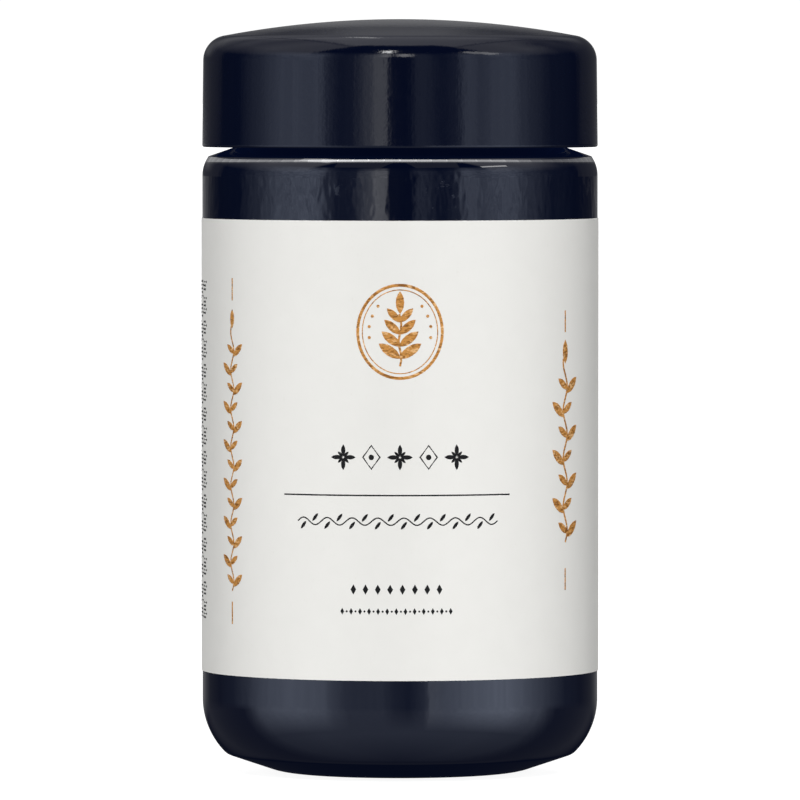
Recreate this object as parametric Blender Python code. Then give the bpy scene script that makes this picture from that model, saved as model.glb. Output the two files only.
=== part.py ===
# Wide-neck jar of near-black violet glass, with a domed screw lid, a sealing disc and a paper label.
# Metres, +Z up. The origin is on the jar's axis, at the height of the surface that it stands on.

import math

import bmesh
import bpy
from mathutils import Matrix, Vector

# Roundness
FACETS = 48                   # flats round each turned piece
CURVE_ERROR = 0.0001          # how far the flats of an outline's arc may leave the true curve
SHARP_ANGLE = math.radians(35)
MERGE_DISTANCE = 0.000001

# Jar body, outside
BODY_RADIUS = 0.0385
FOOT_INNER_RADIUS = 0.0200    # inner edge of the ring that the jar stands on
FOOT_INNER_ROUNDING = 0.0005
FOOT_OUTER_RADIUS = 0.0235
FOOT_OUTER_ROUNDING = 0.0120
HEEL_BEND_RADIUS = 0.0339     # where the flared underside turns up into the heel
HEEL_BEND_HEIGHT = 0.0035
HEEL_BEND_ROUNDING = 0.0030
HEEL_HEIGHT = 0.00845
HEEL_ROUNDING = 0.0150
SHOULDER_HEIGHT = 0.1195
SHOULDER_ROUNDING = 0.0034
SHOULDER_SLOPE = math.radians(18)
PUNT_RADIUS = 0.0175          # hollow in the underside
PUNT_EDGE_HEIGHT = 0.0012
PUNT_HEIGHT = 0.0022
PUNT_ROUNDING = 0.0100

# Jar body, inside
WALL = 0.0035
FLOOR_EDGE_HEIGHT = 0.0062
FLOOR_HEIGHT = 0.0074
FLOOR_ROUNDING = 0.0110
INNER_SHOULDER_HEIGHT = 0.1172
INNER_SHOULDER_ROUNDING = 0.0045
MOUTH_BASE_HEIGHT = 0.1194
MOUTH_BASE_ROUNDING = 0.0030

# Neck
NECK_RADIUS = 0.0310
NECK_WALL = 0.0027
NECK_ROOT_ROUNDING = 0.0015
RIM_HEIGHT = 0.1394
RIM_OUTER_ROUNDING = 0.0012
RIM_INNER_ROUNDING = 0.0010

# Screw thread, right-handed. Turns are counted from +X, counter-clockwise seen from above.
THREAD_PITCH = 0.0042
THREAD_SUNK = 0.0006          # how deep a ridge's root lies in its wall
THREAD_ROOT_HALF = 0.0015     # half the ridge's width at its root
THREAD_CREST_HALF = 0.0005
THREAD_TAPER = 1 / 16         # part of a turn in which a ridge rises from its wall
JAR_CREST_RADIUS = 0.0324
JAR_THREAD_HEIGHT = 0.1303    # middle of the jar's ridge at turn 0
JAR_THREAD_START = 0.0
LID_CREST_RADIUS = 0.03135
LID_THREAD_START = 0.25
THREAD_END = 1.5

# Lid
LID_TOP = 0.14645
DOME_RADIUS = 0.1850          # of the shallow sphere that the lid's top is part of
DOME_REACH = 0.0310           # radius up to which the outline follows that sphere
DOME_STEPS = 4
LID_EDGE_RADIUS = 0.03825     # where the dome would meet the side
LID_EDGE_HEIGHT = 0.14254
LID_EDGE_ROUNDING = 0.0049
LID_BOTTOM = 0.1216
LID_LIP_ROUNDING = 0.0004
SKIRT_INNER_RADIUS = 0.0364
GROOVE_OUTER_RADIUS = 0.0360
GROOVE_INNER_RADIUS = 0.0345
GROOVE_TOP = 0.1406
GROOVE_ROUNDING = 0.0006
COLLAR_OUTER_RADIUS = 0.03435
COLLAR_BORE = 0.03275
COLLAR_BOTTOM = 0.1229
COLLAR_LEAD_IN = 0.0005
SEAT_HEIGHT = 0.1412          # underside of the lid that presses on the disc
SEAT_INNER_RADIUS = 0.0282
DISH_RADIUS = 0.0276          # hollow under the dome
DISH_TOP = 0.14405
DISH_STEPS = 3
RIB_COUNT = 12
RIB_THICKNESS = 0.0012
RIB_INNER_RADIUS = 0.0341
RIB_OUTER_RADIUS = 0.0367
RIB_BOTTOM = 0.1245
RIB_TOP = 0.1410

# Sealing disc
DISC_RADIUS = 0.0319
DISC_GAP = 0.0003             # to the jar's rim below, and to the lid's seat above

# Label
LABEL_GAP = 0.0001
LABEL_THICKNESS = 0.00015
LABEL_BOTTOM = 0.0198
LABEL_TOP = 0.1078
LABEL_START = 0.25 + 1 / FACETS   # in turns: one flat of glass shows between its ends, at the back

# Finishes: red, green and blue in linear light, then roughness. None of them is metal.
FINISHES = {
    "violet_glass": ((0.0025, 0.0030, 0.0120), 0.06),
    "lid_plastic": ((0.0030, 0.0035, 0.0090), 0.28),
    "disc_foam": ((0.78, 0.77, 0.73), 0.70),
    "label_paper": ((0.83, 0.82, 0.79), 0.60),
}


def remove_objects():
    for item in list(bpy.data.objects):
        bpy.data.objects.remove(item, do_unlink=True)


def finish(name):
    """The plain material of that name."""
    colour, roughness = FINISHES[name]
    material = bpy.data.materials.new(name)
    material.use_nodes = True
    shader = material.node_tree.nodes["Principled BSDF"]
    shader.inputs["Base Color"].default_value = (*colour, 1.0)
    shader.inputs["Roughness"].default_value = roughness
    shader.inputs["Metallic"].default_value = 0.0
    return material


def turn_matrix(turn):
    """Rotation about Z by a part of a turn."""
    return Matrix.Rotation(turn * math.tau, 3, 'Z')


def rounded(corners):
    """Points of an outline through corners of (radius, height, rounding), each eased by an arc."""
    points = []
    for index, (radius, height, rounding) in enumerate(corners):
        corner = Vector((radius, height))
        if rounding == 0:
            points.append(corner)
            continue
        back = (Vector(corners[index - 1][:2]) - corner).normalized()
        ahead = (Vector(corners[index + 1][:2]) - corner).normalized()
        turn = math.pi - back.angle(ahead)
        reach = rounding * math.tan(turn / 2)
        centre = corner + (back + ahead).normalized() * rounding / math.cos(turn / 2)
        first = (corner + back * reach - centre).normalized()
        last = (corner + ahead * reach - centre).normalized()
        widest_step = 2 * math.acos(1 - CURVE_ERROR / rounding)
        steps = math.ceil(turn / widest_step)
        points += [centre + rounding * first.slerp(last, step / steps) for step in range(steps + 1)]
    return points


def sphere_cap(top, reach, steps):
    """Corners along a shallow sphere whose highest point is on the axis, from there out to reach."""
    radii = [reach * step / steps for step in range(steps + 1)]
    drops = [DOME_RADIUS - math.sqrt(DOME_RADIUS ** 2 - radius ** 2) for radius in radii]
    return [(radius, top - drop, 0) for radius, drop in zip(radii, drops)]


def add_object(name, shape, material=None):
    """Turn a bmesh into an object, its normals pointing out and its round faces shaded smooth."""
    bmesh.ops.recalc_face_normals(shape, faces=shape.faces)
    mesh = bpy.data.meshes.new(name)
    shape.to_mesh(mesh)
    shape.free()
    mesh.shade_smooth()
    mesh.set_sharp_from_angle(angle=SHARP_ANGLE)
    if material:
        mesh.materials.append(material)
    piece = bpy.data.objects.new(name, mesh)
    bpy.context.collection.objects.link(piece)
    return piece


def turned(name, corners, material):
    """A piece whose outline, which starts and ends on the axis, is turned once round Z."""
    shape = bmesh.new()
    outline = [shape.verts.new((point.x, 0, point.y)) for point in rounded(corners)]
    edges = [shape.edges.new(pair) for pair in zip(outline, outline[1:])]
    bmesh.ops.spin(shape, geom=outline + edges, axis=(0, 0, 1), angle=math.tau, steps=FACETS)
    bmesh.ops.remove_doubles(shape, verts=shape.verts, dist=MERGE_DISTANCE)
    return add_object(name, shape, material)


def fuse(piece, addition):
    """Join another shape to a piece, so that the two are one solid."""
    addition.hide_render = True
    addition.display_type = 'WIRE'
    union = piece.modifiers.new("With " + addition.name, 'BOOLEAN')
    union.operation = 'UNION'
    union.solver = 'EXACT'
    union.object = addition


def thread_ridge(name, wall_radius, crest_radius, start, start_height):
    """A ridge wound round Z on a wall, from a start turn to the thread's end, sunk again at each end."""
    side = 1 if crest_radius > wall_radius else -1
    root = wall_radius - side * THREAD_SUNK
    low_crest = wall_radius - side * THREAD_SUNK / 2
    shape = bmesh.new()
    rings = []
    for step in range(round((THREAD_END - start) * FACETS) + 1):
        turn = start + step / FACETS
        growth = min(1, (turn - start) / THREAD_TAPER, (THREAD_END - turn) / THREAD_TAPER)
        crest = low_crest + (crest_radius - low_crest) * max(0, growth)
        height = start_height + THREAD_PITCH * turn
        section = [
            (root, height - THREAD_ROOT_HALF),
            (crest, height - THREAD_CREST_HALF),
            (crest, height + THREAD_CREST_HALF),
            (root, height + THREAD_ROOT_HALF),
        ]
        angle = turn * math.tau
        rings.append([
            shape.verts.new((radius * math.cos(angle), radius * math.sin(angle), level))
            for radius, level in section
        ])
    for ring, next_ring in zip(rings, rings[1:]):
        for corner in range(4):
            after = (corner + 1) % 4
            shape.faces.new((ring[corner], ring[after], next_ring[after], next_ring[corner]))
    shape.faces.new(rings[0])
    shape.faces.new(rings[-1])
    return add_object(name, shape)


def rib_ring(name):
    """The radial ribs that stiffen the lid, as blocks between its collar and its skirt."""
    shape = bmesh.new()
    middle = Vector(((RIB_INNER_RADIUS + RIB_OUTER_RADIUS) / 2, 0, (RIB_BOTTOM + RIB_TOP) / 2))
    size = Vector((RIB_OUTER_RADIUS - RIB_INNER_RADIUS, RIB_THICKNESS, RIB_TOP - RIB_BOTTOM))
    for index in range(RIB_COUNT):
        block = bmesh.ops.create_cube(shape, size=1)["verts"]
        bmesh.ops.scale(shape, vec=size, verts=block)
        bmesh.ops.translate(shape, vec=middle, verts=block)
        turn = (index + 0.5) / RIB_COUNT
        bmesh.ops.rotate(shape, verts=block, matrix=turn_matrix(turn))
    return add_object(name, shape)


def build_jar():
    """Glass jar: underside, heel, wall, shoulder and neck outside, then the same way back inside."""
    shoulder_rise = (BODY_RADIUS - NECK_RADIUS) * math.tan(SHOULDER_SLOPE)
    inner_radius = BODY_RADIUS - WALL
    mouth_radius = NECK_RADIUS - NECK_WALL
    jar = turned("glass_jar", [
        (0, PUNT_HEIGHT, 0),
        (PUNT_RADIUS, PUNT_EDGE_HEIGHT, PUNT_ROUNDING),
        (FOOT_INNER_RADIUS, 0, FOOT_INNER_ROUNDING),
        (FOOT_OUTER_RADIUS, 0, FOOT_OUTER_ROUNDING),
        (HEEL_BEND_RADIUS, HEEL_BEND_HEIGHT, HEEL_BEND_ROUNDING),
        (BODY_RADIUS, HEEL_HEIGHT, HEEL_ROUNDING),
        (BODY_RADIUS, SHOULDER_HEIGHT, SHOULDER_ROUNDING),
        (NECK_RADIUS, SHOULDER_HEIGHT + shoulder_rise, NECK_ROOT_ROUNDING),
        (NECK_RADIUS, RIM_HEIGHT, RIM_OUTER_ROUNDING),
        (mouth_radius, RIM_HEIGHT, RIM_INNER_ROUNDING),
        (mouth_radius, MOUTH_BASE_HEIGHT, MOUTH_BASE_ROUNDING),
        (inner_radius, INNER_SHOULDER_HEIGHT, INNER_SHOULDER_ROUNDING),
        (inner_radius, FLOOR_EDGE_HEIGHT, FLOOR_ROUNDING),
        (0, FLOOR_HEIGHT, 0),
    ], finish("violet_glass"))
    fuse(jar, thread_ridge(
        "jar_thread", NECK_RADIUS, JAR_CREST_RADIUS, JAR_THREAD_START, JAR_THREAD_HEIGHT))


def build_lid():
    """Screw lid: dome and skirt outside, then the groove, the threaded collar and the dished top."""
    lid = turned("lid", [
        *sphere_cap(LID_TOP, DOME_REACH, DOME_STEPS),
        (LID_EDGE_RADIUS, LID_EDGE_HEIGHT, LID_EDGE_ROUNDING),
        (BODY_RADIUS, LID_BOTTOM, LID_LIP_ROUNDING),
        (SKIRT_INNER_RADIUS, LID_BOTTOM, LID_LIP_ROUNDING),
        (GROOVE_OUTER_RADIUS, GROOVE_TOP, GROOVE_ROUNDING),
        (GROOVE_INNER_RADIUS, GROOVE_TOP, GROOVE_ROUNDING),
        (COLLAR_OUTER_RADIUS, COLLAR_BOTTOM, LID_LIP_ROUNDING),
        (COLLAR_BORE, COLLAR_BOTTOM, COLLAR_LEAD_IN),
        (COLLAR_BORE, SEAT_HEIGHT, 0),
        (SEAT_INNER_RADIUS, SEAT_HEIGHT, 0),
        *reversed(sphere_cap(DISH_TOP, DISH_RADIUS, DISH_STEPS)),
    ], finish("lid_plastic"))
    # The lid's ridge lies half a pitch under the jar's, so it draws the lid down when it is turned.
    ridge_height = JAR_THREAD_HEIGHT - THREAD_PITCH / 2
    fuse(lid, thread_ridge(
        "lid_thread", COLLAR_BORE, LID_CREST_RADIUS, LID_THREAD_START, ridge_height))
    fuse(lid, rib_ring("lid_ribs"))


def build_disc():
    """Sealing disc, between the jar's rim and the lid's seat, held in the lid by its thread."""
    bottom = RIM_HEIGHT + DISC_GAP
    top = SEAT_HEIGHT - DISC_GAP
    turned("sealing_disc", [
        (0, bottom, 0),
        (DISC_RADIUS, bottom, 0),
        (DISC_RADIUS, top, 0),
        (0, top, 0),
    ], finish("disc_foam"))


def build_label():
    """Paper label: a thin strip bent round the glass, its two ends one flat of glass apart."""
    inner = BODY_RADIUS + LABEL_GAP
    outer = inner + LABEL_THICKNESS
    shape = bmesh.new()
    section = [(inner, LABEL_BOTTOM), (outer, LABEL_BOTTOM), (outer, LABEL_TOP), (inner, LABEL_TOP)]
    start = turn_matrix(LABEL_START)
    corners = [shape.verts.new(start @ Vector((radius, 0, height))) for radius, height in section]
    edges = [shape.edges.new((corners[index - 1], corners[index])) for index in range(4)]
    flats = FACETS - 1
    bmesh.ops.spin(
        shape, geom=corners + edges, axis=(0, 0, 1), angle=math.tau * flats / FACETS, steps=flats)
    bmesh.ops.holes_fill(shape, edges=shape.edges, sides=4)
    add_object("label", shape, finish("label_paper"))


def main():
    remove_objects()
    build_jar()
    build_lid()
    build_disc()
    build_label()


main()
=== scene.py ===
from math import acos, ceil, cos, pi, radians, sin, sqrt, tan, tau

import bpy
from mathutils import Matrix, Vector


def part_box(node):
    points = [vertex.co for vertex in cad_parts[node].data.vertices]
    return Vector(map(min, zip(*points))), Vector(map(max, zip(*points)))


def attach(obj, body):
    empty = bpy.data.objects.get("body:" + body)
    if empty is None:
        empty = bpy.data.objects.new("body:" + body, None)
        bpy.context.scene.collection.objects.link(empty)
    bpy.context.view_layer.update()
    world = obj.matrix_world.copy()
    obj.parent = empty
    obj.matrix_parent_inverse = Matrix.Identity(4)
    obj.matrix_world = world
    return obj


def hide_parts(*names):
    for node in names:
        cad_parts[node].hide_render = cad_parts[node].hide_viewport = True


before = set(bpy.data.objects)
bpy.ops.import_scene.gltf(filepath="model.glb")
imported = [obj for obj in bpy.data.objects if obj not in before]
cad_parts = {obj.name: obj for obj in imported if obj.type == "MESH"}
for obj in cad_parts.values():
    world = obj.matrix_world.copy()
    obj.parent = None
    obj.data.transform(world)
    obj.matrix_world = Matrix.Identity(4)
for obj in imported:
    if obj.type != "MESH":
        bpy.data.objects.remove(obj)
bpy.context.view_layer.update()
print("frame loaded, nodes:", ", ".join(sorted(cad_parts)))

# Sizes are in millimetres, heights from the surface that the jar stands on, and a corner of an
# outline is (radius, height, rounding)
mm = 0.001
roundSteps = 192  # faces once round the axis
arcError = 0.004  # how far a corner's chords leave its arc
cornerGuard = 0.25  # from a corner to a long run's nearest point
mergeDistance = 0.000001
smoothAngle = radians(32)

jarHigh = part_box("glass_jar")[1]
lidLow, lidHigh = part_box("lid")
discLow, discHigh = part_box("sealing_disc")
labelLow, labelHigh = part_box("label")


# Helpers for modelling

def enterEdit():
    bpy.ops.object.mode_set(mode='EDIT')


def leaveEdit():
    bpy.ops.object.mode_set(mode='OBJECT')


def deselectAll():
    if bpy.context.object and bpy.context.object.mode != 'OBJECT':
        leaveEdit()
    bpy.ops.object.select_all(action='DESELECT')


def pick(*pieces):
    deselectAll()
    for piece in pieces:
        piece.select_set(True)
    bpy.context.view_layer.objects.active = pieces[0]


def named(name):
    piece = bpy.context.object
    piece.name = name
    piece.data.name = name
    return piece


# selects points by a test and stays in edit mode
def editPoints(piece, test=lambda point: True):
    pick(piece)
    enterEdit()
    bpy.ops.mesh.select_mode(type='VERT')
    bpy.ops.mesh.select_all(action='DESELECT')
    leaveEdit()
    for point in piece.data.vertices:
        point.select = test(point)
    enterEdit()


# merged, closed and facing out
def tidyMesh(piece):
    editPoints(piece)
    bpy.ops.mesh.remove_doubles(threshold=mergeDistance)
    bpy.ops.mesh.normals_make_consistent(inside=False)
    leaveEdit()


def applyModifier(piece, kind, **settings):
    pick(piece)
    bpy.ops.object.modifier_add(type=kind)
    modifier = piece.modifiers[-1]
    for setting, value in settings.items():
        setattr(modifier, setting, value)
    bpy.ops.object.modifier_apply(modifier=modifier.name)


def joinPieces(name, pieces):
    pick(*pieces)
    bpy.ops.object.join()
    return named(name)


# makes the two one body
def weldOn(piece, addition):
    applyModifier(piece, 'BOOLEAN', operation='UNION', solver='EXACT', object=addition)
    bpy.data.objects.remove(addition)


def throwAway(*pieces):
    pick(*pieces)
    bpy.ops.object.delete()


def at(x, height):
    return Vector((x, 0, height)) * mm


# evenly spaced values
def spread(first, last, parts):
    return [first + (last - first) * part / parts for part in range(parts + 1)]


# one point, extruded from place to place
def drawLine(name, places):
    deselectAll()
    bpy.ops.mesh.primitive_plane_add(size=mm)
    piece = named(name)
    enterEdit()
    bpy.ops.mesh.select_all(action='SELECT')
    bpy.ops.mesh.merge(type='CENTER')
    bpy.ops.transform.translate(value=places[0])
    for here, after in zip(places, places[1:]):
        bpy.ops.mesh.extrude_region_move(TRANSFORM_OT_translate={"value": after - here})
    leaveEdit()
    return piece


# each corner is eased by an arc
def easeCorners(corners):
    places = []
    for index, (radius, height, rounding) in enumerate(corners):
        corner = Vector((radius, height))
        if rounding == 0:
            places.append(corner)
            continue
        back = (Vector(corners[index - 1][:2]) - corner).normalized()
        ahead = (Vector(corners[index + 1][:2]) - corner).normalized()
        turn = pi - back.angle(ahead)
        reach = rounding * tan(turn / 2)
        centre = corner + (back + ahead).normalized() * rounding / cos(turn / 2)
        first = (corner + back * reach - centre).normalized()
        last = (corner + ahead * reach - centre).normalized()
        steps = ceil(turn / (2 * acos(1 - arcError / rounding)))
        places += [centre + rounding * first.slerp(last, share) for share in spread(0, 1, steps)]
    return places


# long runs get points of their own, for the waves, and one near each end, for the corner's shading
def splitRuns(places, longest):
    result = [places[0]]
    for here, after in zip(places, places[1:]):
        length = (after - here).length
        shares = spread(0, 1, max(1, ceil(length / longest)))[1:]
        if length > 4 * cornerGuard:
            shares += [cornerGuard / length, 1 - cornerGuard / length]
        result += [here.lerp(after, share) for share in sorted(shares)]
    return result


# an outline turned round the axis
def turnPiece(name, corners, longestRun):
    outline = splitRuns(easeCorners(corners), longestRun)
    piece = drawLine(name, [at(*place) for place in outline])
    editPoints(piece)
    bpy.ops.mesh.spin(steps=roundSteps, angle=tau, center=(0, 0, 0), axis=(0, 0, 1))
    leaveEdit()
    tidyMesh(piece)
    return piece


def shadeRound(piece):
    pick(piece)
    bpy.ops.object.shade_smooth_by_angle(angle=smoothAngle)


# a shallow ball's outline, from its top on the axis
def ballCorners(top, ballRadius, reach, steps):
    return [(radius, top - ballRadius + sqrt(ballRadius ** 2 - radius ** 2), 0)
            for radius in spread(0, reach, steps)]


# Helpers for materials
# A noise is a dict of its settings, and a span is (low, high, what low becomes, what high becomes)

noiseSpan = (0.3, 0.7)  # where nearly all of a noise lies


def newMaterial(name):
    material = bpy.data.materials.new(name)
    material.use_nodes = True
    return material, material.node_tree.nodes["Principled BSDF"]


# sets or joins a node's inputs, by name or by n and a number
def setInputs(node, **inputs):
    for key, value in inputs.items():
        socket = node.inputs[int(key[1:])] if key[1:].isdigit() else node.inputs[key.replace("_", " ")]
        if isinstance(value, bpy.types.NodeSocket):
            node.id_data.links.new(value, socket)
        else:
            socket.default_value = value


# a new node in the tree of another node or socket
def addNode(near, kind, settings=None, **inputs):
    node = near.id_data.nodes.new("ShaderNode" + kind)
    for setting, value in (settings or {}).items():
        setattr(node, setting, value)
    setInputs(node, **inputs)
    return node


# noise on the piece's own coordinates; stretch packs it closer
def addNoise(shader, scale, detail, roughness=0.5, stretch=None, distortion=0.0):
    place = addNode(shader, "TexCoord").outputs["Object"]
    if stretch:
        place = addNode(shader, "Mapping", Vector=place, Scale=stretch).outputs["Vector"]
    noise = addNode(shader, "TexNoise", Vector=place, Scale=scale, Detail=detail, Roughness=roughness,
                    Distortion=distortion)
    return noise.outputs["Fac"]


def addRange(value, low, high, toLow, toHigh):
    return addNode(value, "MapRange", n0=value, n1=low, n2=high, n3=toLow, n4=toHigh).outputs[0]


def addMath(operation, *values):
    inputs = {"n%d" % number: value for number, value in enumerate(values)}
    return addNode(values[0], "Math", {"operation": operation}, **inputs).outputs[0]


def multiply(product, *factors):
    for factor in factors:
        product = addMath('MULTIPLY', product, factor)
    return product


def mixColours(factor, *colours):
    ends = [colour if isinstance(colour, bpy.types.NodeSocket) else (*colour, 1) for colour in colours]
    mix = addNode(factor, "Mix", {"data_type": 'RGBA'}, Factor=factor, n6=ends[0], n7=ends[1])
    return mix.outputs[2]


# bumps one after another; each is (height, depth)
def addBumps(*bumps):
    normal = None
    for height, depth in bumps:
        bump = addNode(height, "Bump", Strength=1.0, Distance=depth * mm, Height=height)
        if normal:
            setInputs(bump, Normal=normal)
        normal = bump.outputs["Normal"]
    return normal


cloudShares = (0.85, 1.2)  # of a dark colour, in its darker and lighter clouds
sheenSpan = (0.35, 0.7)


# the finish of glass and lid; its faint violet emission is painted light that lifts the shade
def darkMaterial(name, look):
    material, shader = newMaterial(name)
    darker, lighter = [[part * share for part in look["colour"]] for share in cloudShares]
    sheen = addNoise(shader, **look["sheen"])
    setInputs(shader, Base_Color=mixColours(addNoise(shader, **look["clouds"]), darker, lighter),
              Roughness=addRange(sheen, *sheenSpan, *look["roughness"]), IOR=look["ior"],
              Emission_Color=(*look["glow"], 1), Emission_Strength=1.0)
    return material, shader


# The glass jar

glass = {
    "bodyRadius": jarHigh.x / mm,
    "underside": ((0, 2.2, 0), (17.5, 1.2, 10.0), (20.0, 0, 0.5), (23.5, 0, 12.0), (33.9, 3.5, 3.0)),
    "heel": (8.45, 15.0),  # height, rounding, as in the pairs below
    "shoulderLow": (117.74, 6.0),
    "shoulderHigh": (119.82, 0.35),
    "shoulderIn": 1.2,  # from the body's side to that corner
    "shoulderSlope": radians(19),
    "neckRadius": 31.0,
    "neckRounding": 1.5,
    "rimHeight": jarHigh.z / mm,
    "rimRoundings": (1.2, 1.0),  # only roundings, outside and inside
    "neckWall": 2.7,
    "mouthBase": (119.4, 3.0),
    "wall": 3.5,
    "innerShoulder": (117.2, 4.5),
    "floorEdge": (6.2, 11.0),
    "floor": 7.4,
    "longestRun": 2.5,
    "wave": 0.05,  # how deep the blown surface waves
    "waveLength": 26.0,
    "colour": (0.0005, 0.0009, 0.0034),
    # painted light: a faint emission that keeps the glass violet in the shade
    "glow": (0.0006, 0.0018, 0.0085),
    "clouds": dict(scale=45, detail=2),
    "sheen": dict(scale=160, detail=4),
    "roughness": (0.025, 0.05),
    "ior": 1.58,
    "ripple": dict(scale=620, detail=1, stretch=(1, 1, 0.42)),
    "pebble": dict(scale=2200, detail=1),
    "depths": (0.095, 0.004),  # of ripple and pebble
    "patches": dict(scale=85, detail=2),  # where both are strong
    "patchSpan": (0.42, 0.60, 0.45, 1.0),
    "growSpan": (90 * mm, 110 * mm, 0.15, 1.0),  # they grow with height, and end at the shoulder
    "endSpan": (116 * mm, 117.6 * mm, 1.0, 0.05),
}

thread = {
    "pitch": 4.2,
    "rootHalf": 1.5,
    "crestHalf": 0.5,
    "sunk": 0.3,
    "taper": 1 / 16,  # part of a turn where the ridge rises
    "jarCrest": 32.4,
    "jarHeight": 130.3,
    "jarTurns": (0.0, 1.5),
    "lidCrest": 31.35,
    "lidTurns": (0.25, 1.5),
}


# a ridge wound round the axis, low at both ends
def windThread(name, wall, crest, turns, height):
    side = 1 if crest > wall else -1
    root = wall - side * thread["sunk"]
    low = wall - side * thread["sunk"] / 2
    firstHeight = height + thread["pitch"] * turns[0]
    section = [
        (root, -thread["rootHalf"]), (crest, -thread["crestHalf"]),
        (crest, thread["crestHalf"]), (root, thread["rootHalf"]),
    ]
    corners, crests = len(section), (1, 2)
    ridge = drawLine(name, [at(radius, firstHeight + rise) for radius, rise in section])
    editPoints(ridge)
    bpy.ops.mesh.edge_face_add()
    bpy.ops.transform.rotate(value=-turns[0] * tau, orient_axis='Z', center_override=(0, 0, 0))
    bpy.ops.mesh.delete(type='ONLY_FACE')
    leaveEdit()
    length = turns[1] - turns[0]
    steps = round(length * roundSteps)
    applyModifier(ridge, 'SCREW', axis='Z', angle=length * tau, steps=steps, render_steps=steps,
                  screw_offset=length * thread["pitch"] * mm, use_merge_vertices=False)
    taperSteps = round(thread["taper"] * roundSteps)
    for step in range(taperSteps):
        radius = low + (crest - low) * step / taperSteps
        rings = (step, steps - step)
        editPoints(ridge, lambda point: point.index // corners in rings and point.index % corners in crests)
        bpy.ops.transform.resize(value=(radius / crest, radius / crest, 1), center_override=(0, 0, 0))
    editPoints(ridge)
    bpy.ops.mesh.fill_holes(sides=corners)
    leaveEdit()
    tidyMesh(ridge)
    return ridge


def makeJar():
    body, neck = glass["bodyRadius"], glass["neckRadius"]
    inside, mouth = body - glass["wall"], neck - glass["neckWall"]
    shoulder = body - glass["shoulderIn"]
    slopeTop = glass["shoulderHigh"][0] + (shoulder - neck) * tan(glass["shoulderSlope"])
    rimOuter, rimInner = glass["rimRoundings"]
    jar = turnPiece("jarGlass", [
        *glass["underside"],
        (body, *glass["heel"]),
        (body, *glass["shoulderLow"]),
        (shoulder, *glass["shoulderHigh"]),
        (neck, slopeTop, glass["neckRounding"]),
        (neck, glass["rimHeight"], rimOuter),
        (mouth, glass["rimHeight"], rimInner),
        (mouth, *glass["mouthBase"]),
        (inside, *glass["innerShoulder"]),
        (inside, *glass["floorEdge"]),
        (0, glass["floor"], 0),
    ], glass["longestRun"])
    # the blown wall waves inward only, so the paper stays clear of it
    clouds = bpy.data.textures.new("jarWave", 'CLOUDS')
    clouds.noise_scale = glass["waveLength"] * mm
    clouds.noise_depth = 1
    applyModifier(jar, 'DISPLACE', texture=clouds, strength=glass["wave"] * mm, mid_level=1.0)
    weldOn(jar, windThread("jarThread", neck, thread["jarCrest"], thread["jarTurns"], thread["jarHeight"]))
    shadeRound(jar)
    return jar


def glassMaterial():
    material, shader = darkMaterial("violetGlass", glass)
    # the ripple is patchy, as on moulded glass, and strongest high up
    place = addNode(shader, "TexCoord").outputs["Object"]
    height = addNode(shader, "SeparateXYZ", Vector=place).outputs["Z"]
    strength = multiply(addRange(addNoise(shader, **glass["patches"]), *glass["patchSpan"]),
                        addRange(height, *glass["growSpan"]), addRange(height, *glass["endSpan"]))
    heights = [multiply(addNoise(shader, **glass[name]), strength) for name in ("ripple", "pebble")]
    setInputs(shader, Normal=addBumps(*zip(heights, glass["depths"])))
    return material


# The screw lid

cap = {
    "top": lidHigh.z / mm,
    "bottom": lidLow.z / mm,
    "bottomRadius": lidHigh.x / mm,
    "domeRadius": 185.0,
    "domeReach": 31.0,
    "domeSteps": 14,
    "edge": (38.25, 142.54, 4.9),
    "lipRounding": 0.4,
    "skirtInner": 36.4,
    "groove": (34.5, 36.0, 140.6),  # inner radius, outer radius, top
    "grooveRounding": 0.6,
    "collarOuter": 34.35,
    "collarBore": 32.75,
    "collarBottom": 122.9,
    "collarLeadIn": 0.5,
    "seatHeight": 141.2,
    "seatInner": 28.2,
    "dishRadius": 27.6,
    "dishTop": 144.05,
    "dishSteps": 8,
    "longestRun": 4.0,
    "ribs": 12,
    "ribSize": (2.6, 1.2, 16.5),
    "ribPlace": (35.4, 0.0, 132.75),
    "colour": (0.0006, 0.0010, 0.0036),
    # painted light: a faint emission that keeps the lid violet in the shade
    "glow": (0.0006, 0.0017, 0.0082),
    "clouds": dict(scale=60, detail=3),
    "sheen": dict(scale=420, detail=4),
    "roughness": (0.085, 0.12),
    "ior": 1.46,
    "grain": dict(scale=1150, detail=3, roughness=0.6),
    "striation": dict(scale=900, detail=2, stretch=(1, 1, 0.05)),  # faint upright streaks
    "depths": (0.016, 0.014),  # of grain and striation
}


def makeRibs():
    deselectAll()
    bpy.ops.mesh.primitive_cube_add(size=mm)
    first = named("rib")
    enterEdit()
    bpy.ops.transform.resize(value=cap["ribSize"])
    bpy.ops.transform.translate(value=Vector(cap["ribPlace"]) * mm)
    leaveEdit()
    ribs = [first]
    for number in range(cap["ribs"]):
        pick(first)
        if number:
            bpy.ops.object.duplicate()
            ribs.append(bpy.context.object)
        ribs[-1].rotation_euler.z = (number + 0.5) / cap["ribs"] * tau
    pick(*ribs)
    bpy.ops.object.transform_apply(location=False, rotation=True, scale=False)
    return joinPieces("lidRibs", ribs)


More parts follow.
